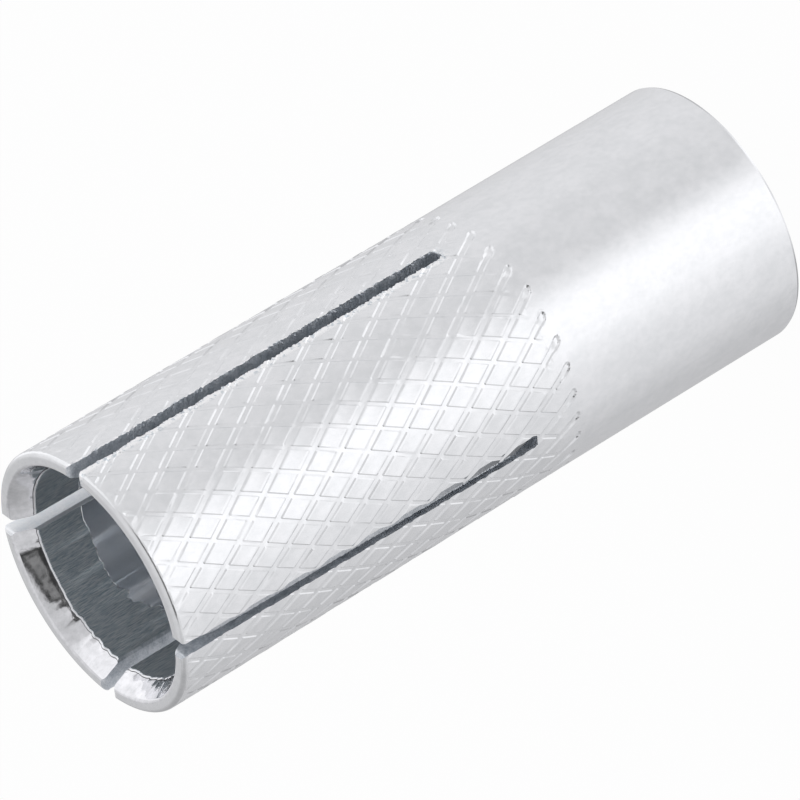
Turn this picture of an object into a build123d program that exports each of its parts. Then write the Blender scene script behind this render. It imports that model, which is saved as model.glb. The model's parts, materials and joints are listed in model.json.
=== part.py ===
import os
from math import cos, pi, radians, sqrt, tan

from build123d import *

# An expansion anchor sleeve, turned from one steel tube. The plain end takes a bolt and sits
# flush with the wall. The other end is bored wider, knurled outside and sawn into four petals,
# which a cone driven into the mouth spreads against the drilled hole.
# Millimetres, +Z along the axis. The plain end stands on z = 0 and the mouth is at the top.

# Tube
sleeve_length = 33.4
outer_diameter = 12.0
plain_length = 12.6
plain_edge_break = 0.15

# Female thread at the plain end, drilled ready for an M10 tap
thread_drill_diameter = 8.5
thread_depth = 12.4
thread_mouth_diameter = 10.4
thread_mouth_angle = 90.0
drill_point_angle = 118.0

# Bore of the split end, with its mouth opened to a cone and the edge between them broken
split_wall = 1.12
bore_edge_break = 0.12
mouth_lead_in_depth = 0.86
mouth_lead_in_width = 0.43

# Diamond knurl: flat lands between two hands of V grooves, on a barrel that flares to the mouth
knurl_seat = 0.01
knurl_flare = 0.07
diamond_length = 2.0
diamond_width = 1.18
groove_width = 0.23
groove_depth = 0.1

# Bare lip beyond the knurl
lip_height = 0.4
lip_step = 0.03
lip_rounding = 0.2

# Two passes of a slitting saw, square to each other, each through both walls
saw_thickness = 0.6
saw_diameter = 40.0
first_saw_floor = 14.06
second_saw_floor = 14.5

outer_radius = outer_diameter / 2
knurl_end = sleeve_length - lip_height
knurl_length = knurl_end - plain_length

# A whole number of diamonds goes round the barrel, and a whole number of half diamonds along it
diamonds_round = round(pi * outer_diameter / diamond_width)
columns = 2 * diamonds_round
rows = 2 * round(knurl_length / diamond_length)
column_angle = 360 / columns
row_height = knurl_length / rows

# A land ends half a groove short of each groove line, measured along the axis
groove_slant = sqrt((row_height * 2) ** 2 + (pi * outer_diameter / diamonds_round) ** 2)
land_share = 1 - groove_width * groove_slant / (2 * row_height * pi * outer_diameter / diamonds_round)


def land_radius(row):
    """Radius of the barrel's lands at one row, from the plain end to the mouth."""
    return outer_radius - knurl_seat + (knurl_seat + knurl_flare) * row / rows


def knurl_point(column, row, radius):
    """A point of the knurl, by its place in the grid of columns and rows."""
    angle = column * column_angle
    return Vector(radius, 0, plain_length + row * row_height).rotate(Axis.Z, angle)


def groove_point(column, row):
    """Where two grooves cross."""
    return knurl_point(column, row, land_radius(row) - groove_depth)


def land_side(column, row, side):
    """Left or right corner of a diamond land."""
    return knurl_point(column + side * land_share, row, land_radius(row))


def land_tip(column, row, end):
    """Upper or lower corner of a diamond land, in the plane of its two sides."""
    tip_row = row + end * land_share
    flat = cos(radians(land_share * column_angle))
    return knurl_point(column, tip_row, land_radius(tip_row) * flat)


def diamond_half(column, row, end):
    """The four groove walls above or below the middle of one diamond."""
    tip = land_tip(column, row, end)
    beyond = groove_point(column, row + end)
    walls = []
    for side in (-1, 1):
        corner = land_side(column, row, side)
        crossing = groove_point(column + side, row)
        walls.append(flat_face([corner, tip, crossing]))
        walls.append(flat_face([crossing, tip, beyond]))
    return walls


def flat_face(corners):
    """A flat face with straight sides."""
    return Face(Wire.make_polygon(corners, close=True))


def knurl_cap(row):
    """The flat end of the barrel, a ring of lands and grooves."""
    ring = []
    for column in range(row % 2, columns, 2):
        ring.append(groove_point(column, row))
        ring.append(land_side(column + 1, row, -1))
        ring.append(land_side(column + 1, row, 1))
    return flat_face(ring)


def knurled_barrel():
    """The knurled stretch as a solid barrel: whole diamonds, and half ones in its end rows."""
    faces = [knurl_cap(0), knurl_cap(rows)]
    for row in range(rows + 1):
        for column in range((row + 1) % 2, columns, 2):
            land = [land_side(column, row, -1), land_side(column, row, 1)]
            if row > 0:
                faces += diamond_half(column, row, -1)
                land.insert(1, land_tip(column, row, -1))
            if row < rows:
                faces += diamond_half(column, row, 1)
                land.append(land_tip(column, row, 1))
            faces.append(flat_face(land))
    return Solid(Shell(faces))


def plain_band():
    """The smooth flush end, with its outer edge broken."""
    band = Cylinder(outer_radius, plain_length, align=(Align.CENTER, Align.CENTER, Align.MIN))
    return chamfer(band.edges().group_by(Axis.Z)[0], plain_edge_break)


def lip():
    """The bare rim of the mouth, stepped in below the grooves, with a rounded outer edge."""
    lip_radius = land_radius(rows) - groove_depth - lip_step
    base = Pos(0, 0, knurl_end)
    rim = base * Cylinder(lip_radius, lip_height, align=(Align.CENTER, Align.CENTER, Align.MIN))
    return fillet(rim.edges().group_by(Axis.Z)[-1], lip_rounding)


def inside():
    """Everything the drills take out: the thread's hole, the wider bore and their mouths."""
    thread_radius = thread_drill_diameter / 2
    bore_radius = outer_radius - split_wall
    countersink = (thread_mouth_diameter / 2 - thread_radius) / tan(radians(thread_mouth_angle / 2))
    drill_point = (bore_radius - thread_radius) / tan(radians(drill_point_angle / 2))
    lead_in_foot = bore_radius + bore_edge_break
    profile = Polyline(
        (0, 0),
        (thread_mouth_diameter / 2, 0),
        (thread_radius, countersink),
        (thread_radius, thread_depth),
        (bore_radius, thread_depth + drill_point),
        (bore_radius, sleeve_length - mouth_lead_in_depth - bore_edge_break),
        (lead_in_foot, sleeve_length - mouth_lead_in_depth),
        (lead_in_foot + mouth_lead_in_width, sleeve_length),
        (0, sleeve_length),
        close=True,
    )
    return revolve(Plane.XZ * make_face(profile), Axis.Z)


def saw_cut(floor):
    """The path of the saw through both walls, down to floor at the outside of the tube."""
    saw_radius = saw_diameter / 2
    saw_centre = floor + sqrt(saw_radius**2 - outer_radius**2)
    disc = Pos(0, 0, saw_centre) * Rot(90, 0, 0) * Cylinder(saw_radius, saw_thickness)
    above = Box(saw_diameter, saw_thickness, sleeve_length, align=(Align.CENTER, Align.CENTER, Align.MIN))
    return disc + Pos(0, 0, saw_centre) * above


anchor_sleeve = plain_band() + knurled_barrel() + lip()
anchor_sleeve -= inside()
anchor_sleeve -= saw_cut(first_saw_floor)
anchor_sleeve -= Rot(0, 0, 90) * saw_cut(second_saw_floor)

os.makedirs("parts", exist_ok=True)
export_step(anchor_sleeve, "parts/anchor_sleeve.step")
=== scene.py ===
import json
import math
import random

import bmesh
import bpy
from mathutils import Matrix, Vector, noise


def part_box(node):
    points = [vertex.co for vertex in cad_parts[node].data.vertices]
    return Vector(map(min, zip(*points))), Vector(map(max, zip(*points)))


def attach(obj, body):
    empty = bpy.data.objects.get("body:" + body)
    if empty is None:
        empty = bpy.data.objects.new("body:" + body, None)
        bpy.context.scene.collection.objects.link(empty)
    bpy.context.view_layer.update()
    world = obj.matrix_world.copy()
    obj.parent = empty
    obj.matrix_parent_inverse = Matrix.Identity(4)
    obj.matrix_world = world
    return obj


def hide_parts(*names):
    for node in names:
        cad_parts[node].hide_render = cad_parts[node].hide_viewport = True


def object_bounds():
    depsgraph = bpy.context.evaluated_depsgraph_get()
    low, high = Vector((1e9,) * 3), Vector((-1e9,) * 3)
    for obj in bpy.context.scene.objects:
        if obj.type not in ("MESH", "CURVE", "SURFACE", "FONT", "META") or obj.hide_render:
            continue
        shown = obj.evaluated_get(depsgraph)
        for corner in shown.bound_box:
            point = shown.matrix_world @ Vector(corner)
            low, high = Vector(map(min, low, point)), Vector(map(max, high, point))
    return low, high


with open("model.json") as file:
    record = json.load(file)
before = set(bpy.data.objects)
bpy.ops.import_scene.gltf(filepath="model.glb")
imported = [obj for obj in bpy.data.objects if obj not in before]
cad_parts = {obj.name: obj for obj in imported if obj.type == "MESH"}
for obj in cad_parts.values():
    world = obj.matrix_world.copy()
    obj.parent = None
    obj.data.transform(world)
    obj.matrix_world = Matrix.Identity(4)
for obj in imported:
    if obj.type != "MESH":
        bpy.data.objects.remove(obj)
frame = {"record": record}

cad_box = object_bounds()

# Knurled barrel. The sleeve is one piece of steel tube, turned in a lathe and zinc plated at the end.
# Two wheels press shallow grooves of opposite hands into its upper part: wide ones with raised rims
# and round ends, and finer ones that start higher. It is drawn in millimetres.

mm = 0.001
sleeve_node = "anchor_sleeve"
mounts = {mount["name"]: mount["dims"] for mount in frame["record"]["mounts"]}
sleeve_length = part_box(sleeve_node)[1].z / mm
plain_radius = mounts["drilled_hole"]["r_mm"]
widest = cad_box[1][0] / mm
full_turn = 2 * math.pi
sleeve = bmesh.new()
finishes = []


def spots(tree, place_on_piece, size, detail, roughness=0.5):
    """Soft random spots of about one size, from 0 to 1."""
    cloud = tree.nodes.new("ShaderNodeTexNoise")
    cloud.inputs["Scale"].default_value = 1 / (size * mm)
    cloud.inputs["Detail"].default_value = detail
    cloud.inputs["Roughness"].default_value = roughness
    tree.links.new(place_on_piece, cloud.inputs["Vector"])
    return cloud.outputs["Fac"]


def ramp(tree, value, stops, interpolation="LINEAR"):
    """Colours for a value, from stops of (value, colour)."""
    colours = tree.nodes.new("ShaderNodeValToRGB")
    colours.color_ramp.interpolation = interpolation
    elements = colours.color_ramp.elements
    while len(elements) > 1:
        elements.remove(elements[0])
    for k, (position, colour) in enumerate(stops):
        stop = elements[0] if k == 0 else elements.new(position)
        stop.position = position
        stop.color = (*colour, 1)
    tree.links.new(value, colours.inputs["Fac"])
    return colours.outputs["Color"]


def zinc(name, light, dark, roughness, patch_size, grain_size, stretch, grain, grain_share=0.5):
    """Zinc plate: two tones in soft patches, over a fine grain that also roughens it.

    Sizes are in millimetres. A stretch below 1 draws the grain out along the sleeve. The answer is
    the number that the sleeve's faces know the finish by.
    """
    tone_spread, sheen_spread = 0.12, 0.07
    material = bpy.data.materials.new(name)
    material.use_nodes = True
    tree = material.node_tree
    shader = tree.nodes["Principled BSDF"]
    shader.inputs["Metallic"].default_value = 1.0
    where = tree.nodes.new("ShaderNodeTexCoord")
    stretched = tree.nodes.new("ShaderNodeMapping")
    stretched.inputs["Scale"].default_value = (1, 1, stretch)
    tree.links.new(where.outputs["Object"], stretched.inputs["Vector"])
    patches = spots(tree, where.outputs["Object"], patch_size, detail=4)
    fine = spots(tree, stretched.outputs["Vector"], grain_size, detail=4, roughness=0.6)
    grains = tree.nodes.new("ShaderNodeMath")
    grains.operation = "MULTIPLY"
    grains.inputs[1].default_value = grain_share
    tree.links.new(fine, grains.inputs[0])
    both = tree.nodes.new("ShaderNodeMath")
    both.operation = "MULTIPLY_ADD"
    both.inputs[1].default_value = 1 - grain_share
    tree.links.new(patches, both.inputs[0])
    tree.links.new(grains.outputs[0], both.inputs[2])
    tones = ramp(tree, both.outputs[0], ((0.5 - tone_spread, dark), (0.5 + tone_spread, light)))
    tree.links.new(tones, shader.inputs["Base Color"])
    sheen = tree.nodes.new("ShaderNodeMapRange")
    sheen.inputs["To Min"].default_value = roughness - sheen_spread
    sheen.inputs["To Max"].default_value = roughness + sheen_spread
    tree.links.new(patches, sheen.inputs["Value"])
    tree.links.new(sheen.outputs[0], shader.inputs["Roughness"])
    bump = tree.nodes.new("ShaderNodeBump")
    bump.inputs["Strength"].default_value = 1.0
    bump.inputs["Distance"].default_value = grain * mm
    tree.links.new(fine, bump.inputs["Height"])
    tree.links.new(bump.outputs["Normal"], shader.inputs["Normal"])
    finishes.append(material)
    return len(finishes) - 1


outside = zinc(
    "zinc_plate", light=(0.90, 0.905, 0.915), dark=(0.83, 0.84, 0.85),
    roughness=0.20, patch_size=0.9, grain_size=0.30, stretch=0.8, grain=0.002,
)

# A hand of grooves has a count, a twist in radians per millimetre of height, and a phase in pitches.
random.seed(7)
wide_starts, wide_twist, wide_phase = 31, 18.15 / plain_radius, -0.144
fine_starts, fine_twist, fine_phase = 32, 19.40 / plain_radius, 0.359
wide_pitch = full_turn / math.hypot(wide_starts / plain_radius, wide_twist)
fine_pitch = full_turn / math.hypot(fine_starts / plain_radius, fine_twist)
wide_half_width, wide_floor, wide_depth = 0.155, 0.085, 0.038
fine_half_width, fine_floor, fine_depth = 0.115, 0.065, 0.028
wide_low, wide_scatter = 12.3, 0.15
fine_low, fine_scatter = 12.9, 0.2
wide_ends = [wide_low + wide_scatter * random.random() for _ in range(wide_starts)]
fine_ends = [fine_low + fine_scatter * random.random() for _ in range(fine_starts)]
end_spread, end_spread_length = 0.035, 0.55
end_deepening, end_deepening_length = 0.7, 0.4
fine_fade_share, fine_fade_length = 0.2, 0.35
depth_variation = 0.4
rim_width, rim_height = 0.10, 0.006
fine_land_line = 0.05
land_tilt, tilt_low, tilt_fade_length = 0.018, 13.1, 0.5
knurl_flare = 0.05
lip_round, lip_bare, lip_fade_length, lip_groove_share = 0.24, 0.15, 0.4, 0.2
knurl_low, knurl_high = 12.85, sleeve_length - lip_round


def smooth(share):
    """0 below 0, 1 above 1, and a soft step between."""
    share = min(1.0, max(0.0, share))
    return share * share * (3 - 2 * share)


def wide_turns(angle, height):
    """Place of a point in wide grooves: a whole number is the middle of one."""
    return (wide_starts * angle + wide_twist * height) / full_turn - wide_phase


def fine_turns(angle, height):
    """Place of a point in fine grooves, which climb the other way."""
    return (fine_starts * angle - fine_twist * height) / full_turn - fine_phase


def groove(across, beyond_end, half_width, floor):
    """Section of a groove: 1 on its flat floor, 0 outside, and slanted walls between them."""
    if beyond_end > 0:
        across = math.hypot(across, beyond_end)
    return min(1.0, max(0.0, (half_width - abs(across)) / (half_width - floor)))


def rim(across, beyond_end):
    """Section of the rim beside a wide groove: 1 along its crest."""
    if beyond_end > 0:
        across = math.hypot(across, beyond_end)
    return max(0.0, 1 - abs(2 * (abs(across) - wide_half_width) / rim_width - 1))


def tilt(w, f):
    """Each land leans a little its own way."""
    leans = random.Random(1000 * math.floor(w) + math.floor(f))
    across, along = w % 1.0 - 0.5, f % 1.0 - 0.5
    return across * leans.uniform(-land_tilt, land_tilt) + along * leans.uniform(-land_tilt, land_tilt)


def flare_at(height):
    """How far the knurled barrel has opened at a height."""
    return knurl_flare * (height - wide_low) / (sleeve_length - wide_low)


def knurled_radius(angle, height):
    """Outside of the barrel, with its lands and grooves."""
    w, f = wide_turns(angle, height), fine_turns(angle, height)
    wide_near, fine_near = round(w), round(f)
    wide_across, fine_across = (w - wide_near) * wide_pitch, (f - fine_near) * fine_pitch
    beyond_wide = wide_ends[wide_near % wide_starts] - height
    beyond_fine = fine_ends[fine_near % fine_starts] - height
    spread = end_spread * smooth(1 + beyond_wide / end_spread_length)
    wide_share = groove(wide_across, beyond_wide, wide_half_width + spread, wide_floor + spread)
    fine_share = groove(fine_across, beyond_fine, fine_half_width, fine_floor)
    uneven = 1 + depth_variation * noise.noise(Vector((0.5 * w, 0.5 * f, 3.0)))
    deeper = 1 + end_deepening * smooth(1 + beyond_wide / end_deepening_length)
    fading = smooth(fine_fade_share - beyond_fine / fine_fade_length)
    cut = max(wide_depth * wide_share * deeper, fine_depth * fine_share * fading) * uneven
    below_lip = smooth((sleeve_length - lip_bare - height) / lip_fade_length)
    cut *= lip_groove_share + (1 - lip_groove_share) * below_lip
    land = rim_height * rim(wide_across, beyond_wide)
    land += tilt(w, f) * smooth((height - tilt_low) / tilt_fade_length)
    land *= (1 - wide_share) * (1 - fine_share)
    return min(widest, plain_radius + max(0.0, flare_at(height)) + land - cut)


def groove_lines(places, pitch):
    """Where the mesh needs lines across one pitch, from a groove's middle over the land to the next."""
    near = [across / pitch for across in places]
    return near + [0.5] + [1 - share for share in reversed(near[1:])]


wide_rim_crest, wide_rim_foot = wide_half_width + rim_width / 2, wide_half_width + rim_width
fine_land_edge = fine_half_width + fine_land_line
across_wide = groove_lines((0.0, wide_floor, wide_half_width, wide_rim_crest, wide_rim_foot), wide_pitch)
across_fine = groove_lines((0.0, fine_floor, fine_half_width, fine_land_edge), fine_pitch)


def crossing(w, f):
    """Angle and height of a point given in grooves of both hands."""
    weave = wide_starts * fine_twist + fine_starts * wide_twist
    w, f = w + wide_phase, f + fine_phase
    angle = full_turn * (w * fine_twist + f * wide_twist) / weave
    height = full_turn * (w * fine_starts - f * wide_starts) / weave
    return angle, height


def place(angle, radius, height):
    """A point of the sleeve by its angle, its radius and its height."""
    return Vector((radius * math.cos(angle), radius * math.sin(angle), height))


def trim(mesh, low, high):
    """Cuts a mesh off square at two heights."""
    for height, side in ((low, -1), (high, 1)):
        everything = mesh.verts[:] + mesh.edges[:] + mesh.faces[:]
        bmesh.ops.bisect_plane(
            mesh, geom=everything, plane_co=(0, 0, height), plane_no=(0, 0, side), clear_outer=True
        )


def knurl_mesh():
    """The knurled barrel as cells of the two crossing families of grooves, trimmed to its length."""
    overlap, laps_to_look_in = 1.6, 4
    mesh, points = bmesh.new(), {}

    def point(m, i, n, j):
        m, i = m + i // len(across_wide), i % len(across_wide)
        n, j = n + j // len(across_fine), j % len(across_fine)
        laps = m // wide_starts
        key = (m - laps * wide_starts, i, n - laps * fine_starts, j)
        if key not in points:
            angle, height = crossing(key[0] + across_wide[i], key[2] + across_fine[j])
            points[key] = mesh.verts.new(place(angle, knurled_radius(angle, height), height))
        return points[key]

    for m in range(wide_starts):
        for n in range(-laps_to_look_in * fine_starts, laps_to_look_in * fine_starts):
            height = crossing(m + 0.5, n + 0.5)[1]
            if not knurl_low - overlap < height < knurl_high + overlap:
                continue
            for i in range(len(across_wide)):
                for j in range(len(across_fine)):
                    corners = (point(m, i, n, j), point(m, i + 1, n, j),
                               point(m, i + 1, n, j + 1), point(m, i, n, j + 1))
                    mesh.faces.new(corners)
    trim(mesh, knurl_low, knurl_high)
    return mesh


def add_mesh(target, source):
    """Moves one mesh into another."""
    carried = bpy.data.meshes.new("carried")
    source.to_mesh(carried)
    target.from_mesh(carried)
    bpy.data.meshes.remove(carried)
    source.free()


add_mesh(sleeve, knurl_mesh())

# Grooves' ends. Each wide groove stops in a round hollow where the wheel first touched the steel.
# They are rings of the same tube, whose columns follow the wide grooves down to the smooth band.

ends_low, ends_rows, first_drop = 12.1, 16, 0.002
between_lines = (0.03, 0.11, 0.165, 0.28, 0.34, 0.42)
ends_across = sorted(across_wide + [side for share in between_lines for side in (share, 1 - share)])
ends_columns = [m + share for m in range(wide_starts) for share in ends_across]


def turn_of(point):
    """Angle of a point round the sleeve's axis, from 0 to a full turn."""
    return math.atan2(point[1], point[0]) % full_turn


def rim_at(mesh, height):
    """The open edge of a mesh at one height, in order round the axis."""
    closeness = 1e-4
    found = [v for v in mesh.verts if v.is_boundary and abs(v.co.z - height) < closeness]
    return sorted(found, key=lambda v: turn_of(v.co))


def ring(mesh, angles, radius_at, height_at):
    """One ring of the tube. Both sizes are worked out for each angle."""
    points = [place(a, radius_at(a), height_at(a)) for a in angles]
    return [mesh.verts.new(point) for point in sorted(points, key=turn_of)]


def join_rings(mesh, first, second, finish):
    """Fills the band between two rings, which may have different counts of points."""
    joined = []
    turns = [[turn_of(v.co) for v in r] + [full_turn + turn_of(r[0].co)] for r in (first, second)]
    a = b = 0
    while a < len(first) or b < len(second):
        here, there = first[a % len(first)], second[b % len(second)]
        ahead = turns[0][a + 1] if a < len(first) else math.inf
        beyond = turns[1][b + 1] if b < len(second) else math.inf
        if ahead < beyond:
            a += 1
            joined.append(mesh.faces.new((here, first[a % len(first)], there)))
        else:
            b += 1
            joined.append(mesh.faces.new((here, second[b % len(second)], there)))
    for face in joined:
        face.material_index = finish


last = rim_at(sleeve, knurl_low)
for k in range(ends_rows + 1):
    height = knurl_low - (knurl_low - ends_low) * k / ends_rows - first_drop
    angles = [(full_turn * (w + wide_phase) - wide_twist * height) / wide_starts for w in ends_columns]
    latest = ring(sleeve, angles, lambda a: knurled_radius(a, height), lambda a: height)
    join_rings(sleeve, last, latest, outside)
    last = latest

# Smooth band. The lower end of the tube is left as it was turned, with its sharp outer edge broken.
# It ends in a flat face, which goes in to the countersink of the tapped hole.

band_columns, band_rings, band_step = 256, 7, 1.7
edge_break, above_break = 0.15, 0.1
break_middle_in, break_middle_up = 0.04, 0.05
countersink_radius = 5.2


def even_angles(count):
    """Angles spread evenly round the tube."""
    return [full_turn * i / count for i in range(count)]


def lathe(mesh, columns, profile, finish, start):
    """Turns a profile of (radius, height) pairs, joined on to a ring that is there already."""
    previous = start
    for radius, height in profile:
        turned = ring(mesh, even_angles(columns), lambda a: radius, lambda a: height)
        join_rings(mesh, previous, turned, finish)
        previous = turned
    return previous


band = [(plain_radius, ends_low - band_step * k) for k in range(band_rings)]
band += [(plain_radius, edge_break + above_break), (plain_radius, edge_break)]
band += [(plain_radius - break_middle_in, break_middle_up), (plain_radius - edge_break, 0.0)]
band += [(countersink_radius, 0.0)]
last = lathe(sleeve, band_columns, band, outside, last)

# Tapped hole. It is drilled from the smooth end, countersunk, and threaded M10 for the bolt.
# The thread runs out just short of the drill's depth. The zinc in here is dull and streaked.

drill_radius, drill_depth = mounts["bolt_thread"]["r_mm"], 12.4
thread_pitch, thread_root, thread_columns = 1.5, 5.06, 96
thread_low, thread_high, thread_runout = 0.06, 11.7, 0.8
crest_share, flank_share, root_share = 0.25, 0.3125, 0.125
root_from = crest_share + flank_share
root_to = root_from + root_share
thread_lines = (0.0, crest_share, root_from, root_to)
bored = zinc(
    "zinc_in_the_bore", light=(0.96, 0.98, 1.0), dark=(0.86, 0.90, 0.95),
    roughness=0.22, patch_size=0.9, grain_size=0.06, stretch=0.04, grain=0.003, grain_share=0.6,
)


def thread_radius(turns, height):
    """Crest, flank, root and flank of the thread, opened by the countersink."""
    share = turns % 1.0
    down = min(1.0, max(0.0, (share - crest_share) / flank_share))
    up = min(1.0, max(0.0, (share - root_to) / flank_share))
    fade = smooth((thread_high - height) / thread_runout)
    cut = drill_radius + (thread_root - drill_radius) * (down - up) * fade
    return max(cut, countersink_radius - height)


def thread_mesh():
    """The thread as one strip of lines that climb round the hole, trimmed to its length."""
    mesh, points = bmesh.new(), {}
    turns_below, turns_above = 2, math.ceil(thread_high / thread_pitch) + 1

    def point(i, line):
        laps, i = i // thread_columns, i % thread_columns
        line += laps * len(thread_lines)
        if (i, line) not in points:
            turns = line // len(thread_lines) + thread_lines[line % len(thread_lines)]
            height = thread_pitch * (turns + i / thread_columns)
            angle = full_turn * i / thread_columns
            points[i, line] = mesh.verts.new(place(angle, thread_radius(turns, height), height))
        return points[i, line]

    for i in range(thread_columns):
        for line in range(-turns_below * len(thread_lines), turns_above * len(thread_lines)):
            mesh.faces.new((point(i, line), point(i + 1, line), point(i + 1, line + 1), point(i, line + 1)))
    trim(mesh, thread_low, thread_high)
    for face in mesh.faces:
        face.material_index = bored
    return mesh


add_mesh(sleeve, thread_mesh())
join_rings(sleeve, last, rim_at(sleeve, thread_low), bored)

# Bore and mouth. A wider drill comes from the other end, and leaves the slant of its point. The mouth
# is then opened a little, down to a ragged mark, and turned to a bright lead-in cone, whose foot has
# a notch painted dark as shade. A round leads from the cone over to the end face.

bore_radius, bore_columns = mounts["cone_bore"]["r_mm"], 288
drill_slant = math.radians(59)
bore_foot_in, bore_above_foot, bore_above_foot_in, bore_full_from = 0.03, 1.5, 0.02, 24.0
lead_in_depth, lead_in_foot = 0.86, 5.0
mark_depth, mark_step, mark_waver = 3.2, 0.015, 0.22
foot_waver, cone_waver = 0.05, 0.01
cone_round, cone_round_centre, cone_round_rings = 0.18, 5.56, 6
cone_slope = math.radians(62)
waver_count, ragged_count, ragged_least, ragged_most, ragged_less_by_depth = 4, 6, 0.4, 2.2, 0.3
ragged_from, ragged_over, deeper_from, deeper_over = 125, 30, 145, 20
opened = zinc(
    "zinc_opened_out", light=(0.98, 1.0, 1.0), dark=(0.50, 0.57, 0.61),
    roughness=0.34, patch_size=0.9, grain_size=0.035, stretch=0.08, grain=0.024, grain_share=0.9,
)
mouth_cone = zinc(
    "zinc_in_the_mouth", light=(0.92, 0.92, 0.94), dark=(0.76, 0.765, 0.78),
    roughness=0.08, patch_size=0.35, grain_size=0.30, stretch=0.8, grain=0.003,
)
# Painted shade: the notch at the cone's foot is coloured near black for the shade in it.
notch_painted_shade = zinc(
    "zinc_painted_notch_shade", light=(0.30, 0.31, 0.33), dark=(0.12, 0.12, 0.13),
    roughness=0.60, patch_size=0.3, grain_size=0.08, stretch=1.0, grain=0.01,
)
drill_point = (bore_radius - drill_radius) / math.tan(drill_slant)
bore_foot = drill_depth + drill_point
hole = [(drill_radius, drill_depth), (bore_radius - bore_foot_in, bore_foot)]
hole += [(bore_radius - bore_above_foot_in, bore_foot + bore_above_foot), (bore_radius, bore_full_from)]
last = lathe(sleeve, bore_columns, hole, bored, rim_at(sleeve, thread_high))

# Each ring of the mouth has a radius, a depth below the end face, how much it wavers, and its finish.
mouth = [
    (bore_radius, mark_depth + 0.03, mark_waver, bored),
    (bore_radius + mark_step, mark_depth, mark_waver, mouth_cone),
    (bore_radius + mark_step, lead_in_depth + 0.15, foot_waver, opened),
    (bore_radius + 0.03, lead_in_depth + 0.12, foot_waver, opened),
    (lead_in_foot - 0.05, lead_in_depth + 0.075, foot_waver, mouth_cone),
    # These two rings line the notch and carry its painted shade.
    (lead_in_foot - 0.035, lead_in_depth + 0.105, foot_waver, notch_painted_shade),
    (lead_in_foot - 0.015, lead_in_depth + 0.06, foot_waver, notch_painted_shade),
    (lead_in_foot + 0.025, lead_in_depth - 0.03, foot_waver, mouth_cone),
    (lead_in_foot + 0.075, lead_in_depth - 0.13, cone_waver, mouth_cone),
]
for k in range(cone_round_rings):
    t = cone_slope * (1 - k / (cone_round_rings - 1))
    around_edge = (cone_round_centre - cone_round * math.sin(t), cone_round * (1 - math.cos(t)))
    mouth.append((*around_edge, 0.0, mouth_cone))


def mouth_height(angle, depth, waver):
    """Height of a ring of the mouth, which is more ragged, and its mark deeper, on one side."""
    degrees = math.degrees(angle)
    there = Vector((waver_count * math.cos(angle), waver_count * math.sin(angle), max(1.0, depth)))
    more = (ragged_most - ragged_less_by_depth * depth) * smooth((degrees - ragged_from) / ragged_over)
    at_mark = depth > 2
    deeper = smooth((degrees - deeper_from) / deeper_over) if at_mark else 0.0
    waviness = noise.noise(there) + (ragged_least + more) * noise.noise(there * ragged_count)
    return sleeve_length - depth - deeper + waver * waviness


for radius, depth, waver, finish in mouth:
    latest = ring(
        sleeve, even_angles(bore_columns), lambda a: radius, lambda a: mouth_height(a, depth, waver)
    )
    join_rings(sleeve, last, latest, finish)
    last = latest
inner_rim = last

# Lip. The top edge of the barrel is rounded over into the flat end face, which meets the mouth's
# round and closes the mesh. The sleeve is whole then, and has no saw cuts yet.

lip_columns, lip_rings, lip_first_step = 448, 7, 0.05


def lip_radius(angle, height):
    """The barrel, where its edge is rounded over into the end face."""
    drop = lip_round - (sleeve_length - height)
    if drop <= 0:
        return knurled_radius(angle, height)
    centre = plain_radius + knurl_flare - lip_round
    return min(knurled_radius(angle, height), centre + math.sqrt(max(0.0, lip_round**2 - drop**2)))


last = rim_at(sleeve, knurl_high)
for k in range(lip_rings):
    lean_over = math.pi / 2 * (k + lip_first_step) / (lip_rings - 1 + lip_first_step)
    height = sleeve_length - lip_round * (1 - math.sin(lean_over))
    latest = ring(sleeve, even_angles(lip_columns), lambda a: lip_radius(a, height), lambda a: height)
    join_rings(sleeve, last, latest, outside)
    last = latest
join_rings(sleeve, last, inner_rim, outside)

bmesh.ops.triangulate(sleeve, faces=sleeve.faces)
bmesh.ops.recalc_face_normals(sleeve, faces=sleeve.faces)
sleeve_data = bpy.data.meshes.new("anchor_sleeve_plated")
sleeve.to_mesh(sleeve_data)
sleeve.free()
plated = bpy.data.objects.new("anchor_sleeve_plated", sleeve_data)
bpy.context.scene.collection.objects.link(plated)

# Saw cuts. A slitting saw goes down through both walls, twice, and leaves four petals. Its first pass
# has ragged edges. Its second is cleaner and leans a little, and has rolled one outer edge over.
# The zinc on the cut walls shows the marks of the saw's teeth. On one side of the second cut the
# walls take the first cut's duller zinc, as painted shade.

saw_radius, plate_top = 20.0, sleeve_length + 0.5
wall_reach = (4.6, 4.78, 4.87, 5.0, 5.4, 5.8, 5.92, 6.05, 6.4)
hollow_reach = (-2.5, 0.0, 2.5)
rolled_reach = (5.94, 5.965, 5.985, 6.01, 6.03)
inner_edge_break, inner_break_depth = 0.09, 0.13
corner_round, corner_end = 0.22, 0.99
tooth_round, tooth_round_height = 0.10, 0.2
floor_raggedness = 1.5
calm_inside, ragged_skin_from, ragged_skin_depth = 0.25, 5.75, 0.25
calm_at_top, calm_length = 0.75, 2
rolled_depth, rolled_skin, skin_inset = 0.07, 5.93, 0.005
roll_top_fade, roll_foot_fade, roll_top_share, roll_length = 2, 1.5, 0.58, 18
roll_curve, roll_roughness = 0.7, 0.15
sawn_dull_and_painted_shade = zinc(
    "zinc_sawn_dull_and_painted_shade", light=(0.90, 0.92, 0.95), dark=(0.55, 0.59, 0.63),
    roughness=0.55, patch_size=0.4, grain_size=0.08, stretch=1.0, grain=0.02,
)
second_sawn = zinc(
    "zinc_on_second_cut", light=(0.98, 0.99, 1.0), dark=(0.84, 0.87, 0.90),
    roughness=0.45, patch_size=0.5, grain_size=0.10, stretch=1.0, grain=0.02,
)
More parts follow.
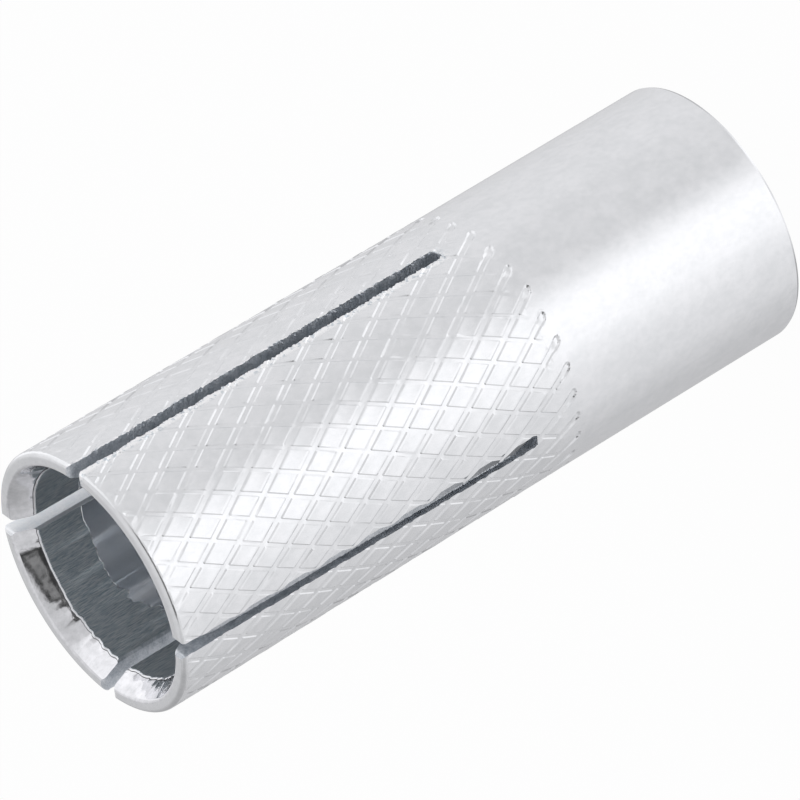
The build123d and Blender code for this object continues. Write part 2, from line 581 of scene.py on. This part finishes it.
# Painted shade: the rolled edge's zinc is darker than the cut walls beside it.
rolled_over = zinc(
    "zinc_rolled_over", light=(0.80, 0.82, 0.85), dark=(0.50, 0.53, 0.56),
    roughness=0.45, patch_size=0.3, grain_size=0.07, stretch=1.0, grain=0.02, grain_share=0.7,
)


def rolled_share(x, z, bottom):
    """How far the rolled edge leans into the cut: most at the skin and near the foot of the cut."""
    skin = plain_radius - skin_inset + flare_at(z)
    deep = min(1.0, max(0.0, (skin + x) / rolled_depth))
    below_top = sleeve_length - z
    share = smooth(below_top / roll_top_fade) * smooth((z - bottom) / roll_foot_fade)
    share *= roll_top_share + (1 - roll_top_share) * below_top / roll_length
    return share * deep**roll_curve


def saw_plate(name, wall_finishes, floor, thickness, raggedness, rows,
              quarter_turn=0, offset=0.0, lean=0.0, rolled=0.0):
    """The metal that one pass takes out, as a closed plate with rough sides.

    It is drawn along x, and turned at the end. Its walls have one finish where x is below 0 and one
    where x is above 0. Rolled is how far an outer edge below 0 has come over, in millimetres.
    """
    mesh = bmesh.new()
    saw_centre = floor + math.sqrt(saw_radius**2 - plain_radius**2)

    def half_width(x, z, bottom, side):
        rough = noise.fractal(Vector((x * 3, side * 9 + quarter_turn, z * 8)), 0.5, 2.0, 3)
        skin_share = smooth((abs(x) - ragged_skin_from) / ragged_skin_depth)
        half = thickness / 2 + raggedness * rough * (calm_inside + (1 - calm_inside) * skin_share)
        half -= calm_at_top * (half - thickness / 2) * smooth(1 - (sleeve_length - z) / calm_length)
        half += inner_edge_break * smooth((bore_radius + inner_break_depth - abs(x)) / inner_break_depth)
        half -= tooth_round * (1 - smooth((z - bottom) / tooth_round_height))
        corner = min(1.0, max(0.0, (z - sleeve_length) / corner_round + 1))
        half += corner_round * (1 - math.sqrt(1 - corner * corner * corner_end))
        if side < 0 and x < 0:
            half -= rolled * rolled_share(x, z, bottom) * (1 + roll_roughness * rough)
        return half

    rolled_side = sorted(wall_reach + rolled_reach) if rolled else wall_reach
    across = [-x for x in reversed(rolled_side)] + list(hollow_reach) + list(wall_reach)
    walls = []
    for side in (-1, 1):
        wall = []
        for x in across:
            bottom = saw_centre - math.sqrt(saw_radius**2 - x**2)
            bottom += floor_raggedness * raggedness * noise.noise(Vector((x * 6, side * 3, 1.0)))
            heights = [bottom + (plate_top - bottom) * j / rows for j in range(rows + 1)]
            wall.append([
                mesh.verts.new((
                    x, side * half_width(x, z, bottom, side) + offset + lean * (sleeve_length - z), z
                ))
                for z in heights
            ])
        walls.append(wall)
    back, front = walls
    columns = len(across) - 1
    for i in range(columns):
        for j in range(rows):
            mesh.faces.new((front[i][j], front[i + 1][j], front[i + 1][j + 1], front[i][j + 1]))
            mesh.faces.new((back[i][j], back[i][j + 1], back[i + 1][j + 1], back[i + 1][j]))
        for j in (0, rows):
            mesh.faces.new((back[i][j], back[i + 1][j], front[i + 1][j], front[i][j]))
    for i in (0, columns):
        for j in range(rows):
            mesh.faces.new((back[i][j], back[i][j + 1], front[i][j + 1], front[i][j]))
    bmesh.ops.triangulate(mesh, faces=mesh.faces)
    bmesh.ops.recalc_face_normals(mesh, faces=mesh.faces)
    for face in mesh.faces:
        middle = face.calc_center_median()
        on_roll_side = middle.y < offset + lean * (sleeve_length - middle.z)
        on_roll = rolled and middle.x < -rolled_skin and on_roll_side
        face.material_index = rolled_over if on_roll else wall_finishes[middle.x > 0]
    mesh.transform(Matrix.Rotation(quarter_turn * math.pi / 2, 4, "Z"))
    data = bpy.data.meshes.new(name)
    mesh.to_mesh(data)
    mesh.free()
    plate = bpy.data.objects.new(name, data)
    bpy.context.scene.collection.objects.link(plate)
    return plate


plates = [
    saw_plate(
        "first_pass", (sawn_dull_and_painted_shade, sawn_dull_and_painted_shade),
        floor=14.06, thickness=0.63, raggedness=0.09, rows=270,
    ),
    # Painted shade: the second pass's walls below x 0 take the dull first-cut zinc, so that they render
    # darker.
    saw_plate(
        "second_pass", (sawn_dull_and_painted_shade, second_sawn),
        floor=14.5, thickness=0.65, raggedness=0.010, rows=240,
        quarter_turn=1, offset=0.095, lean=0.0163, rolled=0.42,
    ),
]

# Torn strip. The teeth of the first pass tore the steel's skin beside the cut. The zinc over it is
# pale and rough, in a strip that is broader on one side of the cut than on the other.

torn_size, torn_detail, torn_relief = 0.19, 3, 0.04
torn_dark, torn_light = (0.66, 0.71, 0.75), (1.0, 1.0, 1.0)
torn_window = 1.0
torn_across = ((0.16, 0.0), (0.24, 1.0), (0.66, 1.0), (0.72, 0.0))
torn_from, torn_full_from = 13.7, 14.1


def product(tree, first, second):
    """Two shares multiplied together."""
    multiplied = tree.nodes.new("ShaderNodeMath")
    multiplied.operation = "MULTIPLY"
    tree.links.new(first, multiplied.inputs[0])
    tree.links.new(second, multiplied.inputs[1])
    return multiplied.outputs[0]


def share_between(tree, value, low, high):
    """How far a value has come from low to high, as a share from 0 to 1."""
    part = tree.nodes.new("ShaderNodeMapRange")
    part.inputs["From Min"].default_value = low
    part.inputs["From Max"].default_value = high
    tree.links.new(value, part.inputs["Value"])
    return part.outputs[0]


def laid_over(tree, share, under, over):
    """One colour over another, as far as a share says."""
    mixed = tree.nodes.new("ShaderNodeMixRGB")
    tree.links.new(share, mixed.inputs["Fac"])
    tree.links.new(under, mixed.inputs["Color1"])
    tree.links.new(over, mixed.inputs["Color2"])
    return mixed.outputs["Color"]


def grey_stops(levels):
    """Stops of a ramp that has only greys."""
    return [(position, (level, level, level)) for position, level in levels]


plate_tree = finishes[outside].node_tree
plate_shader = plate_tree.nodes["Principled BSDF"]
plate_place = plate_tree.nodes.new("ShaderNodeTexCoord")
plate_split = plate_tree.nodes.new("ShaderNodeSeparateXYZ")
plate_tree.links.new(plate_place.outputs["Object"], plate_split.inputs[0])
torn = spots(plate_tree, plate_place.outputs["Object"], torn_size, torn_detail)
across_cut = share_between(plate_tree, plate_split.outputs["Y"], -torn_window * mm, torn_window * mm)
strip = ramp(plate_tree, across_cut, grey_stops(torn_across))
above_floor = share_between(plate_tree, plate_split.outputs["Z"], torn_from * mm, torn_full_from * mm)
torn_here = product(plate_tree, strip, above_floor)
specks = ramp(plate_tree, torn, ((0.36, torn_dark), (0.50, torn_light)))
plain_tone = plate_shader.inputs["Base Color"].links[0].from_socket
torn_tone = laid_over(plate_tree, torn_here, plain_tone, specks)
plate_tree.links.new(torn_tone, plate_shader.inputs["Base Color"])
torn_bump = plate_tree.nodes.new("ShaderNodeBump")
torn_bump.inputs["Distance"].default_value = torn_relief * mm
plate_tree.links.new(product(plate_tree, torn, torn_here), torn_bump.inputs["Height"])
plate_tree.links.new(plate_shader.inputs["Normal"].links[0].from_socket, torn_bump.inputs["Normal"])
plate_tree.links.new(torn_bump.outputs["Normal"], plate_shader.inputs["Normal"])

# Rolled edge. The saw pushed the steel over along one edge of its second cut. Its zinc is painted
# darker as shade, most near the foot of the cut, deep in the slot.

# Painted shade: the rolled edge's zinc darkens towards the foot of the cut.
roll_shade_full_height, roll_shade_end_height, roll_deepest_shade = 16.5, 21.5, 0.43
roll_tree = finishes[rolled_over].node_tree
roll_shader = roll_tree.nodes["Principled BSDF"]
roll_place = roll_tree.nodes.new("ShaderNodeTexCoord")
roll_split = roll_tree.nodes.new("ShaderNodeSeparateXYZ")
roll_tree.links.new(roll_place.outputs["Object"], roll_split.inputs[0])
shade_up_the_roll = roll_tree.nodes.new("ShaderNodeMapRange")
shade_up_the_roll.inputs["From Min"].default_value = roll_shade_full_height * mm
shade_up_the_roll.inputs["From Max"].default_value = roll_shade_end_height * mm
shade_up_the_roll.inputs["To Min"].default_value = roll_deepest_shade
roll_tree.links.new(roll_split.outputs["Z"], shade_up_the_roll.inputs["Value"])
roll_painted_shade = roll_tree.nodes.new("ShaderNodeMixRGB")
roll_painted_shade.blend_type = "MULTIPLY"
roll_painted_shade.inputs["Fac"].default_value = 1.0
roll_tree.links.new(roll_shader.inputs["Base Color"].links[0].from_socket, roll_painted_shade.inputs["Color1"])
roll_tree.links.new(shade_up_the_roll.outputs[0], roll_painted_shade.inputs["Color2"])
roll_tree.links.new(roll_painted_shade.outputs["Color"], roll_shader.inputs["Base Color"])

# Finished sleeve. Both passes of the saw are cut out of the closed tube, and the cut walls keep
# their own finish. The sleeve is then brought to metres, and its real edges are kept sharp.

for thing in (plated, *plates):
    for finish in finishes:
        thing.data.materials.append(finish)

bpy.context.view_layer.objects.active = plated
for plate in plates:
    cut = plated.modifiers.new(plate.name, "BOOLEAN")
    cut.object = plate
    cut.operation = "DIFFERENCE"
    cut.solver = "EXACT"
    cut.material_mode = "INDEX"
    bpy.ops.object.modifier_apply(modifier=cut.name)
for plate in plates:
    bpy.data.objects.remove(plate)

sharpest_smooth = math.radians(20)
sawn = bmesh.new()
sawn.from_mesh(plated.data)
sawn.transform(Matrix.Scale(mm, 4))
for edge in sawn.edges:
    edge.smooth = edge.calc_face_angle(0.0) < sharpest_smooth
for face in sawn.faces:
    face.smooth = True
sawn.to_mesh(plated.data)
sawn.free()

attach(plated, "root")
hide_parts(sleeve_node)

# Floor. The sleeve stands on a sheet of matt white paper, which keeps its shadow. Most of the
# paper's brightness is its own, so that the background stays white. The zinc mirrors only the tent.

floor_size, own_white = 4, 0.96
bpy.ops.mesh.primitive_plane_add(size=floor_size)
floor = bpy.context.object
floor.name = "floor"
floor.visible_glossy = False
floor_material = bpy.data.materials.new("white_floor")
floor_material.use_nodes = True
nodes, links = floor_material.node_tree.nodes, floor_material.node_tree.links
nodes.clear()
output = nodes.new("ShaderNodeOutputMaterial")
mix = nodes.new("ShaderNodeMixShader")
matt = nodes.new("ShaderNodeBsdfDiffuse")
matt.inputs["Color"].default_value = (0.95, 0.95, 0.95, 1)
glow = nodes.new("ShaderNodeEmission")
rays = nodes.new("ShaderNodeLightPath")
seen = rays.outputs["Is Camera Ray"]
for kind in ("Is Glossy Ray", "Is Transmission Ray"):
    either = nodes.new("ShaderNodeMath")
    either.operation = "ADD"
    links.new(seen, either.inputs[0])
    links.new(rays.outputs[kind], either.inputs[1])
    seen = either.outputs[0]
glowing = nodes.new("ShaderNodeMath")
glowing.operation = "MULTIPLY"
glowing.inputs[1].default_value = own_white
links.new(seen, glowing.inputs[0])
links.new(glowing.outputs[0], mix.inputs["Fac"])
links.new(matt.outputs[0], mix.inputs[1])
links.new(glow.outputs[0], mix.inputs[2])
links.new(mix.outputs[0], output.inputs["Surface"])
floor.data.materials.append(floor_material)

# Tent of light. A pale tent stands all round, darker behind and to one side, so that the bright zinc
# shows the shading of the real one. Its walls are five belts, one above the other.

camera_turn = math.radians(-45.8)
tent_blue = 1.02
world = bpy.data.worlds.new("tent")
bpy.context.scene.world = world
world.use_nodes = True
tent_tree = world.node_tree
direction = tent_tree.nodes.new("ShaderNodeTexCoord")
facing = tent_tree.nodes.new("ShaderNodeMapping")
facing.vector_type = "TEXTURE"
facing.inputs["Rotation"].default_value = (0, 0, camera_turn)
tent_tree.links.new(direction.outputs["Generated"], facing.inputs["Vector"])
split = tent_tree.nodes.new("ShaderNodeSeparateXYZ")
tent_tree.links.new(facing.outputs["Vector"], split.inputs[0])
around = tent_tree.nodes.new("ShaderNodeMath")
around.operation = "ARCTAN2"
tent_tree.links.new(split.outputs["Y"], around.inputs[0])
tent_tree.links.new(split.outputs["X"], around.inputs[1])
turn = share_between(tent_tree, around.outputs[0], -math.pi, math.pi)
rise = split.outputs["Z"]


def tent_walls(levels):
    """Brightness of the tent all round the sleeve, by degrees from the camera."""
    stops = [((degrees + 180) / 360, (level, level, level * tent_blue)) for degrees, level in levels]
    return ramp(tent_tree, turn, stops, "EASE")


low = tent_walls((
    (-180, 0.35), (-115, 0.38), (-90, 0.80), (-66, 1.05), (-44, 0.90), (-20, 0.80), (2, 0.95), (25, 1.14),
    (58, 1.14), (75, 0.92), (100, 0.78), (118, 0.55), (155, 0.50), (180, 0.35),
))
below = tent_walls((
    (-180, 0.55), (-148, 0.575), (-128, 0.60), (-108, 0.68), (-86, 0.80), (-66, 0.86), (-50, 0.98),
    (-34, 1.14), (-10, 1.22), (2, 1.12), (12, 0.93), (26, 0.74), (50, 0.77), (90, 0.84), (120, 0.81),
    (155, 0.74), (180, 0.55),
))
belt = tent_walls((
    (-180, 0.50), (-150, 0.40), (-125, 0.45), (-100, 0.65), (-60, 0.80), (0, 0.80), (60, 0.80), (95, 1.0),
    (110, 1.10), (150, 1.10), (168, 0.60), (180, 0.50),
))
above = tent_walls((
    (-180, 0.60), (-150, 0.42), (-120, 0.42), (-92, 0.58), (-70, 0.68), (0, 0.64), (35, 0.66), (52, 0.98),
    (100, 1.05), (150, 0.80), (180, 0.60),
))
over = tent_walls(((-180, 0.66), (0, 0.74), (150, 0.74), (180, 0.66)))
tent = low
for wall, start, end in (
    (below, -0.66, -0.54), (belt, -0.31, -0.14), (above, 0.10, 0.18), (over, 0.60, 0.75)
):
    level = tent_tree.nodes.new("ShaderNodeMapRange")
    level.interpolation_type = "SMOOTHSTEP"
    level.inputs["From Min"].default_value = start
    level.inputs["From Max"].default_value = end
    tent_tree.links.new(rise, level.inputs["Value"])
    tent = laid_over(tent_tree, level.outputs[0], tent, wall)

# Dark card. A card stands in the tent beside the camera, black, with a mottled grey stripe across its
# middle. The bright cone in the mouth mirrors it.

card_black, card_grey = (0.04, 0.04, 0.04, 1), (0.25, 0.25, 0.25, 1)
mottle_scale, mottle_black, mottle_grey = 16, 0.34, 0.50
card_across = tent_walls(((-61, 0.0), (-58, 1.0), (10, 1.0), (25, 0.0)))
card_up = ramp(tent_tree, rise, grey_stops(((0.20, 0.0), (0.25, 1.0), (0.54, 1.0), (0.575, 0.0))))
card = product(tent_tree, card_across, card_up)
stripe_across = tent_walls(((-56, 0.0), (-53, 1.0), (-4, 1.0), (15, 0.2)))
stripe_up = ramp(tent_tree, rise, grey_stops(((0.39, 0.0), (0.42, 1.0), (0.50, 1.0), (0.52, 0.0))))
mottles = tent_tree.nodes.new("ShaderNodeTexNoise")
mottles.inputs["Scale"].default_value = mottle_scale
tent_tree.links.new(facing.outputs["Vector"], mottles.inputs["Vector"])
mottled = share_between(tent_tree, mottles.outputs["Fac"], mottle_black, mottle_grey)
stripe = product(tent_tree, product(tent_tree, stripe_across, stripe_up), mottled)
card_colour = tent_tree.nodes.new("ShaderNodeMixRGB")
card_colour.inputs["Color1"].default_value = card_black
card_colour.inputs["Color2"].default_value = card_grey
tent_tree.links.new(stripe, card_colour.inputs["Fac"])
carded = laid_over(tent_tree, card, tent, card_colour.outputs["Color"])
tent_tree.links.new(carded, tent_tree.nodes["Background"].inputs["Color"])

# Camera. It stands where the photograph was taken, far off with a long lens. The three directions
# are the sleeve's axis, the way to the camera and the way sideways, all as the camera sees them.

camera_data = bpy.data.cameras.new("camera")
camera = bpy.data.objects.new("camera", camera_data)
bpy.context.scene.collection.objects.link(camera)
bpy.context.scene.camera = camera
camera_data.sensor_width = 36.0
camera_data.lens = 417.68
camera_data.clip_start = 0.01
camera_data.clip_end = 10.0
sleeve_axis = Vector((-0.76646, 0.46322, -0.44493))
to_camera = Vector((0.38093, -0.22989, -0.89557))
sideways = Vector((-0.51713, -0.85591, -0.00025))
base_centre = Vector((2.16209, -1.32544, 65.61728)) * plain_radius
first_cut_turn = math.radians(44.2)
x_axis = math.cos(first_cut_turn) * sideways + math.sin(first_cut_turn) * to_camera
y_axis = sleeve_axis.cross(x_axis)
part_axes = Matrix((x_axis, y_axis, sleeve_axis))
flip = Matrix(((1, 0, 0), (0, -1, 0), (0, 0, -1)))
camera.matrix_world = Matrix.Translation(part_axes @ -base_centre * mm) @ (part_axes @ flip).to_4x4()

bpy.context.scene.view_settings.view_transform = "Standard"
